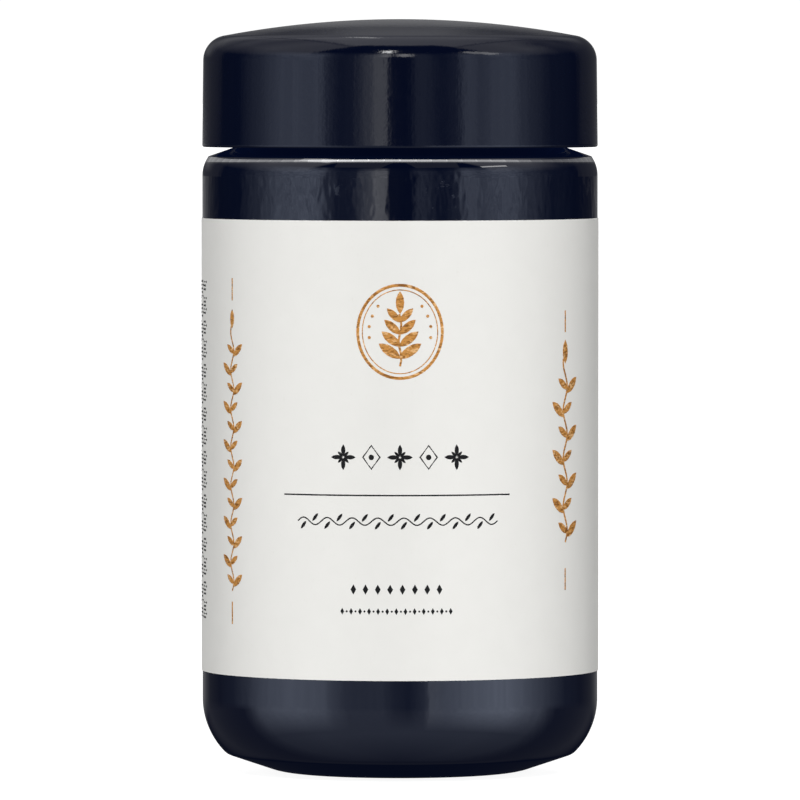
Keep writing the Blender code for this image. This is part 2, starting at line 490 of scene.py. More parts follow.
def makeLid():
    grooveInner, grooveOuter, grooveTop = cap["groove"]
    lip, bore = cap["lipRounding"], cap["collarBore"]
    dome = ballCorners(cap["top"], cap["domeRadius"], cap["domeReach"], cap["domeSteps"])
    dish = ballCorners(cap["dishTop"], cap["domeRadius"], cap["dishRadius"], cap["dishSteps"])
    lid = turnPiece("screwLid", [
        *dome,
        cap["edge"],
        (cap["bottomRadius"], cap["bottom"], lip),
        (cap["skirtInner"], cap["bottom"], lip),
        (grooveOuter, grooveTop, cap["grooveRounding"]),
        (grooveInner, grooveTop, cap["grooveRounding"]),
        (cap["collarOuter"], cap["collarBottom"], lip),
        (bore, cap["collarBottom"], cap["collarLeadIn"]),
        (bore, cap["seatHeight"], 0),
        (cap["seatInner"], cap["seatHeight"], 0),
        *reversed(dish),
    ], cap["longestRun"])
    weldOn(lid, windThread("lidThread", bore, thread["lidCrest"], thread["lidTurns"],
                           thread["jarHeight"] - thread["pitch"] / 2))
    weldOn(lid, makeRibs())
    shadeRound(lid)
    return lid


def lidMaterial():
    material, shader = darkMaterial("lidPlastic", cap)
    heights = [addNoise(shader, **cap[name]) for name in ("grain", "striation")]
    setInputs(shader, Normal=addBumps(*zip(heights, cap["depths"])))
    return material


# The sealing disc

foam = {
    "edge": 0.2,
    "longestRun": 4.0,
    "colour": (0.80, 0.79, 0.75),
    "shade": (0.70, 0.69, 0.65),
    "clouds": dict(scale=300, detail=4),
    "roughness": (0.62, 0.78),
    "cellScale": 2400,
    "cellDepth": 0.04,
}


def makeDisc():
    radius, low, high = discHigh.x / mm, discLow.z / mm, discHigh.z / mm
    disc = turnPiece("foamDisc", [
        (0, low, 0),
        (radius, low, foam["edge"]),
        (radius, high, foam["edge"]),
        (0, high, 0),
    ], foam["longestRun"])
    shadeRound(disc)
    return disc


def foamMaterial():
    material, shader = newMaterial("foam")
    place = addNode(shader, "TexCoord").outputs["Object"]
    cells = addNode(shader, "TexVoronoi", Vector=place, Scale=foam["cellScale"]).outputs["Distance"]
    clouds = addNoise(shader, **foam["clouds"])
    setInputs(shader, Base_Color=mixColours(clouds, foam["colour"], foam["shade"]),
              Roughness=addRange(clouds, *noiseSpan, *foam["roughness"]),
              Normal=addBumps((cells, foam["cellDepth"])))
    return material


# The paper label

paper = {
    "radius": 38.53,
    "thickness": 0.12,
    "bottom": labelLow.z / mm,
    "top": labelHigh.z / mm,
    "rows": 24,
    "start": 97.5,  # degrees from +X; the gap is at the back
    "sweep": 352.5,
    "colour": (0.865, 0.860, 0.830),
    "shade": (0.850, 0.845, 0.815),
    "speck": (0.70, 0.68, 0.62),
    "speckSpan": (0.62, 0.75, 0, 0.18),
    "fibres": dict(scale=1500, detail=5, roughness=0.65, stretch=(1, 1, 0.45)),
    "clouds": dict(scale=220, detail=4),
    "depths": (0.006, 0.01),  # of fibres and clouds
    "roughness": (0.66, 0.82),
    "specular": 0.25,
}


def makeLabel():
    heights = spread(paper["bottom"], paper["top"], paper["rows"])
    label = drawLine("paperLabel", [at(paper["radius"], height) for height in heights])
    editPoints(label)
    bpy.ops.transform.rotate(value=-radians(paper["start"]), orient_axis='Z', center_override=(0, 0, 0))
    bpy.ops.mesh.spin(steps=roundSteps, angle=radians(paper["sweep"]), center=(0, 0, 0), axis=(0, 0, 1))
    leaveEdit()
    tidyMesh(label)
    applyModifier(label, 'SOLIDIFY', thickness=paper["thickness"] * mm, offset=1.0)
    shadeRound(label)
    return label


def paperMaterial():
    material, shader = newMaterial("labelPaper")
    fibres, clouds = [addNoise(shader, **paper[name]) for name in ("fibres", "clouds")]
    colour = mixColours(addRange(clouds, *noiseSpan, 0, 1), paper["colour"], paper["shade"])
    colour = mixColours(addRange(fibres, *paper["speckSpan"]), colour, paper["speck"])
    setInputs(shader, Base_Color=colour, Specular_IOR_Level=paper["specular"],
              Roughness=addRange(fibres, *noiseSpan, *paper["roughness"]),
              Normal=addBumps(*zip((fibres, clouds), paper["depths"])))
    return material


# The printed marks
# Made flat, with x along the paper from the middle of its front, then bent round the jar

marks = {
    "radius": 38.65,  # the paper's outer face
    "rise": 0.03,  # how far the print stands out
    "tip": 0.49,  # share of a shape's height where its tips start
}


# an even stroke along flat places; a closed one ends where it starts
def stroke(places, width, closed=False):
    line = drawLine("stroke", places + places[:1] if closed else places)
    if closed:
        editPoints(line)
        bpy.ops.mesh.remove_doubles(threshold=mergeDistance)
        leaveEdit()
    bpy.ops.object.convert(target='CURVE')
    curve = bpy.context.object.data
    curve.bevel_depth = width * mm / 2
    curve.bevel_resolution = 0
    curve.use_fill_caps = not closed
    bpy.ops.object.convert(target='MESH')
    flat = bpy.context.object
    editPoints(flat)
    bpy.ops.transform.resize(value=(1, 2 * marks["rise"] / width, 1), center_override=(0, 0, 0))
    leaveEdit()
    return flat


# a closed line round a point
def ring(x, height, across, tall, width, corners):
    places = [at(x + across / 2 * cos(turn), height + tall / 2 * sin(turn))
              for turn in spread(0, tau, corners)[:-1]]
    return stroke(places, width, closed=True)


# a level line, in parts short enough to bend
def levelLine(left, right, height, parts, width):
    return stroke([at(x, height) for x in spread(left, right, parts)], width)


# a flat disc, squeezed and pointed
def patch(width, height, corners, pointed=0.0):
    deselectAll()
    bpy.ops.mesh.primitive_circle_add(vertices=corners, radius=mm / 2, fill_type='TRIFAN')
    shape = named("patch")
    enterEdit()
    bpy.ops.transform.rotate(value=-pi / 2, orient_axis='X', center_override=(0, 0, 0))
    bpy.ops.transform.resize(value=(width, 1, height), center_override=(0, 0, 0))
    leaveEdit()
    if pointed:
        for end in (1, -1):
            editPoints(shape, lambda point: point.co.z * end > marks["tip"] * height * mm)
            bpy.ops.transform.translate(value=(0, 0, end * pointed * mm))
        leaveEdit()
    editPoints(shape)
    bpy.ops.mesh.extrude_region_move(TRANSFORM_OT_translate={"value": (0, -marks["rise"] * mm, 0)})
    leaveEdit()
    tidyMesh(shape)
    return shape


# copies of a flat shape, each at (x, height, degrees, size)
def scatter(shape, places):
    copies = []
    for x, height, turn, size in places:
        pick(shape)
        bpy.ops.object.duplicate()
        copy = bpy.context.object
        copy.location = at(x, height)
        copy.rotation_euler.y = radians(turn)
        copy.scale = (size, 1, size)
        copies.append(copy)
    pick(*copies)
    bpy.ops.object.transform_apply(location=True, rotation=True, scale=True)
    return copies


# joins marks and bends them to the paper's curve
def bendMarks(name, pieces):
    whole = joinPieces(name, pieces)
    sides = [point.co.x for point in whole.data.vertices]
    width = max(sides) - min(sides)
    applyModifier(whole, 'SIMPLE_DEFORM', deform_method='BEND', deform_axis='Z',
                  angle=width / (marks["radius"] * mm))
    editPoints(whole)
    bpy.ops.transform.translate(value=(0, -marks["radius"] * mm, 0))
    leaveEdit()
    tidyMesh(whole)
    return whole


# The copper foil: an emblem in front, and a vine to either side

foil = {
    "leaf": (1.7, 3.9, 12, 0.35),  # width, height, corners, how pointed
    "leafGap": 0.15,
    "dot": (0.62, 0.62, 10),
    "emblem": (0.0, 86.6),
    "rings": ((16.3, 17.8, 0.58, 72), (14.5, 16.0, 0.20, 72)),  # across, tall, line's width, corners
    "stalk": (-6.6, 10, 0.25, 0.42),  # foot, length, swing, line's width
    "topLeaf": (3.6, 0, 0.95),  # foot, lean, size
    "leafPairs": ((-5.0, 56, 1.12), (-2.7, 52, 1.02), (-0.4, 48, 0.92), (1.9, 44, 0.82)),
    "emblemDots": ((5.9, -1.1), (5.9, 1.0), (5.3, 3.0), (4.2, 4.9)),
    # middle, bottom and top of each vine, its size, and its two dashes
    "vines": ((-38.3, 36.2, 87.6, 1.0, ((29.8, 34.1), (92.2, 96.5))),
              (37.4, 45.6, 81.0, 1.25, ((36.4, 40.6), (86.1, 90.3)))),
    "vineStep": 0.7,
    "vineSwing": (0.55, 7.4),  # half its width, and its length
    "vineWidth": 0.40,
    "vineTop": (0.6, 0.8),  # how far down the top leaf starts, and its size
    "vineLeaves": ((0.0, 50, 0.82), (0.5, -55, 0.66)),  # at each half swing: how far up, lean, size
    "vineFirst": 0.25,  # part of a half swing below its leaves
    "vineSpare": 0.3,  # least part of one above the last
    "dashWidth": 0.42,
    # the bright colour is for the painted highlights
    "colours": ((0.30, 0.115, 0.020), (0.72, 0.33, 0.080), (0.98, 0.60, 0.27)),  # dark, middle, bright
    "streaks": dict(scale=760, detail=4, roughness=0.65, stretch=(1, 1, 2.8), distortion=0.8),
    "streakSpan": (0.40, 0.52, 0, 1),
    # painted highlight: these bright patches in the colour stand in for glints
    "glints": dict(scale=1100, detail=3, stretch=(1, 1, 2.4)),
    "glintSpan": (0.54, 0.66, 0, 1),
    "streakDepth": 0.012,
    "roughness": (0.34, 0.50),
    "metal": 0.25,
}


# where a leaf's middle lies when its foot is on the stem
def onStem(x, height, turn, size):
    reach = (foil["leaf"][1] / 2 + foil["leafGap"]) * size
    lean = radians(turn)
    return x + reach * sin(lean), height + reach * cos(lean), turn, size


# a swinging stem with a big and a small leaf at each swing
def makeVine(leaf, x, bottom, top, size):
    reach, length = [size * part for part in foil["vineSwing"]]
    heights = spread(bottom, top, round((top - bottom) / foil["vineStep"]))
    swings = [at(x + reach * sin((height - bottom) / length * tau), height) for height in heights]
    stem = stroke(swings, foil["vineWidth"] * size)
    down, topSize = foil["vineTop"]
    places = [onStem(x, top - down * size, 0, topSize * size)]
    for number in range(int((top - bottom) / (length / 2) - foil["vineSpare"])):
        height = bottom + (number + foil["vineFirst"]) * length / 2
        side = -1 if number % 2 else 1
        places += [onStem(x + side * reach, height + up * size, side * lean, leafSize * size)
                   for up, lean, leafSize in foil["vineLeaves"]]
    return [stem] + scatter(leaf, places)


def makeEmblem(leaf, dot):
    x, height = foil["emblem"]
    pieces = [ring(x, height, *size) for size in foil["rings"]]
    foot, length, swing, width = foil["stalk"]
    places = [at(x + swing * sin(up), height + foot + up) for up in spread(0, length, length)]
    pieces.append(stroke(places, width))
    up, lean, size = foil["topLeaf"]
    leaves = [onStem(x, height + up, lean, size)]
    for up, lean, size in foil["leafPairs"]:
        leaves += [onStem(x, height + up, side * lean, size) for side in (1, -1)]
    dots = [(x + side * across, height + up, 0, 1.0)
            for side in (1, -1) for across, up in foil["emblemDots"]]
    return pieces + scatter(leaf, leaves) + scatter(dot, dots)


def makeFoil():
    leaf, dot = patch(*foil["leaf"]), patch(*foil["dot"])
    pieces = makeEmblem(leaf, dot)
    for x, bottom, top, size, dashes in foil["vines"]:
        pieces += [stroke([at(x, low), at(x, high)], foil["dashWidth"]) for low, high in dashes]
        pieces += makeVine(leaf, x, bottom, top, size)
    throwAway(leaf, dot)
    return bendMarks("labelFoil", pieces)


def foilMaterial():
    material, shader = newMaterial("copperFoil")
    shade, middle, bright = foil["colours"]
    streaks, glints = [addNoise(shader, **foil[name]) for name in ("streaks", "glints")]
    colour = mixColours(addRange(streaks, *foil["streakSpan"]), shade, middle)
    # painted highlight: the glint noise lightens the colour toward the bright copper
    colour = mixColours(addRange(glints, *foil["glintSpan"]), colour, bright)
    setInputs(shader, Base_Color=colour, Metallic=foil["metal"],
              Roughness=addRange(streaks, *noiseSpan, *foil["roughness"]),
              Normal=addBumps((streaks, foil["streakDepth"])))
    return material


# The black print: title row, rule, garland, beads, fine lines and box

ink = {
    "dot": (0.8, 0.8, 10),
    "titleHeight": 62.6,
    "titlePlaces": (-11.0, -5.5, 0.0, 5.5, 11.0),
    "petal": (0.85, 1.9, 12, 0.2),
    "petals": 8,
    "petalReach": 1.30,
    "petalSizes": (1.0, 0.62),  # big and small in turn
    "lozenge": (3.3, 4.5, 0.34, 4),
    "lozengeDot": 1.35,
    "rule": (-23.6, 22.2, 55.3, 46, 0.3),  # left, right, height, parts, width
    "garland": (-20.5, 19.5, 50.3),  # left, right, height
    "swings": 16,
    "swingParts": 8,
    "swingDepth": 0.7,
    "garlandWidth": 0.26,
    "leaflet": (0.62, 1.7, 8, 0.1),
    "leafletOff": (-0.75, 0.75),  # off its middle, below and above in turn
    "leafletLean": 38,
    "bead": (1.1, 1.95, 4),
    "beadRow": (-9.0, 7.6, 37.3, 7, 1.0),  # left, right, height, gaps, size
    "lastRow": (-11.2, 9.8, 33.1, 12, 0.66),
    "lastDot": 0.5,
    "columns": (-52.9, -56.2, -59.5, -62.8, -66.1, -69.4),  # of fine upright lines
    "columnEnds": (30.4, 95.6),
    "bar": (-1.1, 1.0),
    "longBar": (-1.1, 1.8),
    "barWidth": 0.49,
    "longEvery": 3,
    "barStep": 0.72,
    "wordStep": 1.7,
    "words": (9, (0, 5)),  # in each nine bars the step is longer after these
    "box": (66.0, 90.0, 40.0, 76.0),  # left, right, bottom, top
    "boxParts": 16,
    "boxWidth": 0.3,
    "boxRules": 3,
    "boxMargin": 2.0,
    "boxRuleWidth": 0.2,
    "colour": (0.010, 0.010, 0.011),
    "worn": (0.022, 0.022, 0.023),
    "grain": dict(scale=1800, detail=4),
    "grainDepth": 0.002,
    "roughness": (0.50, 0.70),
    "specular": 0.1,
}


# petals round a point
def rosette(petal, x, height):
    places = []
    for number in range(ink["petals"]):
        size = ink["petalSizes"][number % 2]
        turn = number / ink["petals"] * 360
        lean, reach = radians(turn), ink["petalReach"] * size
        places.append((x + reach * sin(lean), height + reach * cos(lean), turn, size))
    return scatter(petal, places)


# the row in the title's place
def makeTitle(dot):
    petal = patch(*ink["petal"])
    pieces, height = [], ink["titleHeight"]
    for number, x in enumerate(ink["titlePlaces"]):
        if number % 2:
            pieces.append(ring(x, height, *ink["lozenge"]))
            pieces += scatter(dot, [(x, height, 0, ink["lozengeDot"])])
        else:
            pieces += rosette(petal, x, height)
    throwAway(petal)
    return pieces


# a swinging line with a small leaf in each hollow
def makeGarland():
    leaflet = patch(*ink["leaflet"])
    left, right, height = ink["garland"]
    parts = ink["swingParts"]
    places = [at(x, height + ink["swingDepth"] * sin(number / parts * pi))
              for number, x in enumerate(spread(left, right, ink["swings"] * parts))]
    ends = spread(left, right, ink["swings"])
    leaves = [((here + after) / 2, height + ink["leafletOff"][number % 2], ink["leafletLean"], 1.0)
              for number, (here, after) in enumerate(zip(ends, ends[1:]))]
    pieces = [stroke(places, ink["garlandWidth"])] + scatter(leaflet, leaves)
    throwAway(leaflet)
    return pieces


# two rows, the lower one smaller and with dots between
def makeBeads(dot):
    bead = patch(*ink["bead"])
    pieces = []
    for left, right, height, gaps, size in (ink["beadRow"], ink["lastRow"]):
        places = spread(left, right, gaps)
        pieces += scatter(bead, [(x, height, 0, size) for x in places])
    middles = [(here + after) / 2 for here, after in zip(places, places[1:])]
    pieces += scatter(dot, [(x, height, 0, ink["lastDot"]) for x in middles])
    throwAway(bead)
    return pieces


# upright lines of short bars, in groups like words
def makeSmallLines():
    bar, longBar = [levelLine(*ink[name], 0, 1, ink["barWidth"]) for name in ("bar", "longBar")]
    low, high = ink["columnEnds"]
    period, wordStarts = ink["words"]
    shortPlaces, longPlaces = [], []
    height, number = low, 0
    while height < high:
        places = longPlaces if number % ink["longEvery"] == 1 else shortPlaces
        places.append((0, height, 0, 1.0))
        number += 1
        height += ink["wordStep"] if number % period in wordStarts else ink["barStep"]
    first = joinPieces("smallLine", scatter(bar, shortPlaces) + scatter(longBar, longPlaces))
    lines = []
    for turn, x in enumerate(ink["columns"]):
        pick(first)
        bpy.ops.object.duplicate()
        line = bpy.context.object
        line.location = at(x, 0)
        if turn % 2:
            line.scale.z = -1  # so that neighbours differ
            line.location.z = (low + high) * mm
        lines.append(line)
    pick(*lines)
    bpy.ops.object.transform_apply(location=True, rotation=False, scale=True)
    throwAway(first, bar, longBar)
    return lines


# a blank box to write in, with a few rules
def makeBox():
    left, right, bottom, top = ink["box"]
    parts, margin = ink["boxParts"], ink["boxMargin"]
    corners = [at(left, bottom), at(right, bottom), at(right, top), at(left, top)]
    edge = []
    for here, after in zip(corners, corners[1:] + corners[:1]):
        edge += [here.lerp(after, share) for share in spread(0, 1, parts)[:-1]]
    rules = [levelLine(left + margin, right - margin, height, parts, ink["boxRuleWidth"])
             for height in spread(bottom, top, ink["boxRules"] + 1)[1:-1]]
    return [stroke(edge, ink["boxWidth"], closed=True)] + rules


def makeInk():
    dot = patch(*ink["dot"])
    pieces = makeTitle(dot) + makeGarland() + makeSmallLines() + makeBox()
    pieces += [levelLine(*ink["rule"])] + makeBeads(dot)
    throwAway(dot)
    return bendMarks("labelInk", pieces)


def inkMaterial():
    material, shader = newMaterial("labelInk")
    grain = addNoise(shader, **ink["grain"])
    setInputs(shader, Base_Color=mixColours(grain, ink["colour"], ink["worn"]),
              Roughness=addRange(grain, *noiseSpan, *ink["roughness"]),
              Normal=addBumps((grain, ink["grainDepth"])), Specular_IOR_Level=ink["specular"])
    return material


# Build

def dress(piece, material, body, slotName, *nodes):
    piece.data.materials.clear()
    piece.data.materials.append(material)
    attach(piece, body)
    if nodes:
        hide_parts(*nodes)
    print("made", piece.name, "with", len(piece.data.polygons), "faces")
    return piece


jar = dress(makeJar(), glassMaterial(), "jar", "violet_glass", "glass_jar")
lid = dress(makeLid(), lidMaterial(), "lid", "lid_plastic", "lid")
dress(makeDisc(), foamMaterial(), "disc", "disc_foam", "sealing_disc")
dress(makeLabel(), paperMaterial(), "jar", "label_paper", "label")
dress(makeFoil(), foilMaterial(), "jar", "label_foil")
dress(makeInk(), inkMaterial(), "jar", "label_ink")


# The floor

floorSet = {
    "size": 60.0,  # metres, as the height
    "height": -0.0002,
    "colour": (0.25, 0.25, 0.25),
    "roughness": 0.9,
    "glow": 0.93,
}


def makeFloor():
    deselectAll()
    bpy.ops.mesh.primitive_plane_add(size=floorSet["size"], location=(0, 0, floorSet["height"]))
    floor = named("studioFloor")
    bpy.ops.object.transform_apply(location=True, rotation=False, scale=False)
    material, shader = newMaterial("floorWhite")
    setInputs(shader, Base_Color=(*floorSet["colour"], 1), Roughness=floorSet["roughness"],
              Specular_IOR_Level=0.0, Emission_Color=(1, 1, 1, 1), Emission_Strength=floorSet["glow"])
    floor.data.materials.append(material)
    floor.visible_glossy = False
    floor.visible_diffuse = False


# The room, which only glossy surfaces see
# A direction points x to the right, back away from the camera, and up

room = {
    # degrees to the right of the front, light, and coolness
    "walls": (
        (-180, 0.20, 0), (-166, 0.26, 0), (-148, 0.065, 0), (-130, 0.01, 0), (-108, 0.02, 1),
        (-90, 0.28, 1), (-74, 0.80, 1), (-60, 1.0, 1), (-48, 0.96, 1), (-43, 0.30, 1), (-36, 0.10, 1),
        (-27, 0.14, 1), (-22, 0.50, 0.6), (-17, 0.75, 0.4), (-14.5, 1.35, 0.2), (-8.5, 1.3, 0.2),
        (-6.5, 0.04, 0), (5, 0.01, 0), (11, 0.30, 1), (17, 0.22, 1), (24, 0.06, 1), (34, 0.18, 1),
        (39, 0.85, 1), (43, 0.80, 1), (48, 0.55, 1), (57, 0.82, 1), (68, 0.88, 1), (80, 0.36, 1),
        (98, 0.06, 1), (124, 0.01, 0), (150, 0.035, 0), (166, 0.15, 0),
    ),
    # the same nearer the floor, seen in the lower glass
    "lowWalls": (
        (-166, 0.20, 0), (-148, 0.05, 0), (-130, 0.03, 0), (-114, 0.09, 1), (-100, 0.32, 1), (-88, 0.72, 1),
        (-76, 1.02, 1), (-62, 1.18, 1), (-45, 1.0, 1), (-40, 0.66, 1), (-30, 0.36, 1), (-10, 0.36, 1),
        (-4, 0.20, 1), (5, 0.12, 1), (15, 0.34, 1), (17, 0.92, 0.8), (27, 0.92, 1), (36, 1.15, 1),
        (46, 1.40, 1), (58, 1.55, 1), (68, 1.5, 1), (76, 1.1, 1), (86, 0.66, 1), (98, 0.35, 1),
        (112, 0.09, 1), (130, 0.03, 0), (150, 0.06, 0), (166, 0.18, 0),
    ),
    "cool": (0.89, 1.0, 1.25),
    "lowSplit": (-3.0, -2.4),  # degrees up between which the walls meet
    "speckle": (22.0, 3.0),  # scale and detail of their patches
    "patchy": ((0.72, 0.93), (1.28, 1.07)),  # darkest and brightest, of the upper and lower wall
    "floorFade": (-36, -8),  # below the first there is only the floor's glow
    "floorDark": (-92, -40),
    "floorLight": (0.02, 0.33),
    "floorSides": (55, 125),  # where its glow fades, either way
    "floorBehind": 0.12,  # to this share
    "lowRise": (-8, -3),  # low and behind the walls end between these
    "lowBack": (0.0, 0.25, 0, 0.97),
    "shade": 0.060,  # what is left everywhere below
    "shadeBack": (0.50, 0.75, 1.0, 0.06),
    "shadeSides": (0.25, 0.50, 0.0, 1.0),
    "shadeTint": (1, 1, 1.06),
    # straight behind, for the shallow dome, and a glow to its left for the round edges
    "farBack": (0.6, 0.7, 0, 1),
    "farUp": (-0.01, 0.0, 0, 1),
    "farMiddle": (0.018, 0.032, 0.20, 0.10),
    "leftBand": (-0.35, 0.14, 0.08),
    "leftUp": (0.04, 0.12, 0, 0.15),
    # the ceiling, in metres aside and ahead per metre of height
    "ceiling": 0.72,
    "panel": (0.05, 0.40, 0.36),  # its brighter panel's middle, half width and front edge
    "panelSoft": (0.02, 0.04),  # softness of its sides and front edge
    "panelAhead": (-1.2, 0.3, 0.45, 1.15),
    "panelSide": (-0.3, 0.4, 1.12, 0.85),
    "frame": (0.05, 0.02, 0.01),  # its dark frame: how far off, half width, softness
    "frameShare": 0.4,
    "cornerSide": (0.20, 0.40, 0, 1),  # darker corners behind
    "cornerBack": (0.05, 0.40, 0, 1),
    "cornerShade": (0.54, 0.80, 0.40),  # left, right, and higher up to the right
    "cornerRise": (44, 54),
    "cornerSplit": (-0.1, 0.1),
    "ceilingTint": (1, 1, 1.04),
    "wallTop": (22, 34),
    "gapSides": (42, 58),  # this many degrees either way the front is dark
    "gapTop": (66, 72),  # up to here
    "sideTop": (15, 36),  # aside the ceiling starts lower
    "dim": (0.24, 0.26, 1.0, 0.60),  # behind the dome it is dimmer, with a dark edge
    "dimEdge": (0.265, 0.014, 0.006),
    "dimEdgeShare": 0.70,
    "ambient": 0.03,
    "white": 1.05,  # what the camera sees
}


def scaleLight(tint, amount):
    return addNode(amount, "VectorMath", {"operation": 'SCALE'}, Vector=tint, Scale=amount).outputs[0]


def addLight(first, second):
    return addNode(first, "VectorMath", {"operation": 'ADD'}, n0=first, n1=second).outputs[0]


# the light of one wall, by its degrees to the right of the front
def addWall(turn, stops):
    most = max(light for degrees, light, coolness in stops) * max(room["cool"])
    ramp = addNode(turn, "ValToRGB", Fac=addRange(turn, -pi, pi, 0, 1))
    elements = ramp.color_ramp.elements
    while len(elements) < len(stops):
        elements.new(0.5)
    for element, (degrees, light, coolness) in zip(elements, stops):
        tint = [1 + (part - 1) * coolness for part in room["cool"]]
        element.position = degrees / 360 + 0.5
        element.color = (*[light * part / most for part in tint], 1)
    return addNode(turn, "VectorMath", {"operation": 'SCALE'}, Vector=ramp.outputs["Color"],
                   Scale=most).outputs[0]


# 1 near a middle value and 0 away from it
def addBand(value, middle, half, soft):
    off = addMath('ABSOLUTE', addMath('SUBTRACT', value, middle))
    return addRange(off, half - soft, half + soft, 1, 0)


# the rest of the whole
def opposite(value):
    return addRange(value, 0, 1, 1, 0)


def makeRoom():
    world = bpy.data.worlds.new("studioRoom")
    bpy.context.scene.world = world
    world.use_nodes = True
    world.cycles.sampling_method = 'NONE'
    tree = world.node_tree
    tree.nodes.clear()
    direction = addNode(tree, "TexCoord").outputs["Generated"]
    x, back, up = addNode(tree, "SeparateXYZ", Vector=direction).outputs
    turn = addMath('ARCTAN2', x, multiply(back, -1.0))
    rise = addMath('ARCSINE', up)
    aside, turnAside = addMath('ABSOLUTE', x), addMath('ABSOLUTE', turn)

    # a range whose low and high are a setting in degrees
    def byDegrees(value, name, *ends):
        return addRange(value, *[radians(degrees) for degrees in room[name]], *ends)

    # the patchy walls, and the floor's glow below them
    low = byDegrees(rise, "lowSplit", 1, 0)
    scale, detail = room["speckle"]
    speckle = addNode(tree, "TexNoise", Vector=direction, Scale=scale, Detail=detail).outputs["Fac"]
    patchy = [addRange(low, 0, 1, *ends) for ends in room["patchy"]]
    patchy = addRange(speckle, *noiseSpan, *patchy)
    wall = mixColours(low, addWall(turn, room["walls"]), addWall(turn, room["lowWalls"]))
    floorLight = multiply(byDegrees(rise, "floorDark", *room["floorLight"]),
                          byDegrees(turnAside, "floorSides", 1, room["floorBehind"]))
    wall = mixColours(byDegrees(rise, "floorFade", 1, 0), scaleLight(wall, patchy),
                      scaleLight(room["cool"], floorLight))

    # below and behind hardly anything shines
    front = opposite(multiply(addRange(back, *room["lowBack"]), byDegrees(rise, "lowRise", 1, 0)))
    shade = multiply(byDegrees(rise, "lowRise", room["shade"], 0),
                     addMath('MAXIMUM', addRange(back, *room["shadeBack"]),
                             addRange(aside, *room["shadeSides"])))
    wall = addLight(scaleLight(wall, front), scaleLight(room["shadeTint"], shade))

    # straight behind
    glow = multiply(addBand(x, *room["leftBand"]), addRange(up, *room["leftUp"]))
    behind = addMath('ADD', addRange(aside, *room["farMiddle"]), glow)
    isBehind = multiply(addRange(back, *room["farBack"]), addRange(up, *room["farUp"]))
    wall = mixColours(isBehind, wall, behind)

    # the ceiling and its brighter panel in a dark frame
    side = addMath('DIVIDE', x, up)
    ahead = multiply(addMath('DIVIDE', back, up), -1.0)
    middle, half, edge = room["panel"]
    sideSoft, edgeSoft = room["panelSoft"]
    inPanel = multiply(addBand(side, middle, half, sideSoft), addRange(ahead, edge - edgeSoft, edge, 1, 0))
    panelLight = multiply(addRange(ahead, *room["panelAhead"]), addRange(side, *room["panelSide"]))
    outside, frameHalf, frameSoft = room["frame"]
    fromMiddle = addMath('ABSOLUTE', addMath('SUBTRACT', side, middle))
    inFrame = addBand(fromMiddle, half + outside, frameHalf, frameSoft)
    plain = multiply(addRange(inFrame, 0, 1, 1.0, room["frameShare"]), room["ceiling"])
    # it is darker in its corners behind
    leftShade, rightShade, highShade = room["cornerShade"]
    depth = addRange(x, *room["cornerSplit"], leftShade,
                     byDegrees(rise, "cornerRise", rightShade, highShade))
    corner = multiply(addRange(aside, *room["cornerSide"]), addRange(back, *room["cornerBack"]), depth)
    ceiling = multiply(addRange(inPanel, 0, 1, plain, panelLight), opposite(corner))
    ceiling = scaleLight(room["ceilingTint"], ceiling)

    # above the wall comes a dark gap over the front, then the ceiling
    sideways = byDegrees(turnAside, "gapSides", 0, 1)
    ends = [addRange(sideways, 0, 1, radians(inFront), radians(atSides))
            for inFront, atSides in zip(room["gapTop"], room["sideTop"])]
    light = addLight(scaleLight(wall, byDegrees(rise, "wallTop", 1, 0)),
                     scaleLight(ceiling, addRange(rise, *ends, 0, 1)))

    level = addMath('ADD', up, aside)
    dim = multiply(addRange(level, *room["dim"]),
                   addRange(addBand(level, *room["dimEdge"]), 0, 1, 1.0, room["dimEdgeShare"]))
    light = scaleLight(light, addRange(isBehind, 0, 1, 1.0, dim))

    mirrored = addNode(tree, "Background", Color=light, Strength=1.0).outputs[0]
    ambient, white = [addNode(tree, "Background", Color=(1, 1, 1, 1), Strength=room[name]).outputs[0]
                      for name in ("ambient", "white")]
    path = addNode(tree, "LightPath").outputs
    lit = addNode(tree, "MixShader", n0=path["Is Glossy Ray"], n1=ambient, n2=mirrored).outputs[0]
    seen = addNode(tree, "MixShader", n0=path["Is Camera Ray"], n1=lit, n2=white).outputs[0]
    addNode(tree, "OutputWorld", Surface=seen)


# Lights

lights = {
    # soft lights for the paper: degrees right and up, share of its brightness
    "soft": ((-97, 25, 0.27), (-14, 35, 0.51), (20, 35, 0.33), (90, 25, 0.24), (-158, 25, 0.25),
             (165, 25, 0.38)),
    "softAngle": radians(12),
    # glints that one piece mirrors: degrees right and up, half width and height, lean, light
    "distance": 3.0,
    "lid": ((-7.8, 38.2, 2.2, 5.6, 0, 13.0), (-7.8, 22, 2.4, 7.5, 0, 1.3), (2.5, 22.5, 4.0, 6.0, 0, 2.8),
            (52, 30, 10, 4.2, -32, 2.2), (-172, 54, 1.2, 6.0, 0, 1.3)),
    "jar": ((63, 33, 8, 1.8, 0, 4.2), (-67, 52, 9, 4.5, 0, 2.3), (-27, 45, 13, 12, 0, 0.15),
            (24, 45, 12, 12, 0, 0.15)),
}

# The bright line along the shoulder, mirrored by its bevel; pairs are for front and sides
gleam = {
    # degrees round the shoulder, light
    "stops": ((-84, 0.10), (-78, 0.34), (-70, 0.55), (-53, 1.7), (-38, 2.1), (-30, 4.2), (-24, 7.5),
              (-14, 10.5), (-1, 8.2), (8, 7.0), (15, 5.0), (25, 3.8), (31, 3.9), (38, 2.0), (45, 0.9),
              (54, 0.65), (72, 0.36), (78, 0.25), (84, 0.08)),
    "lights": 36,
    "overlap": 1.03,
    "facing": (29.7, 26.8),  # how far up the bevel faces
    "half": (2.8, 1.7),  # half the line's height
    "tail": (2.2, 2.0, 0.13),  # its soft lower edge: how far below, half height, share of light
}


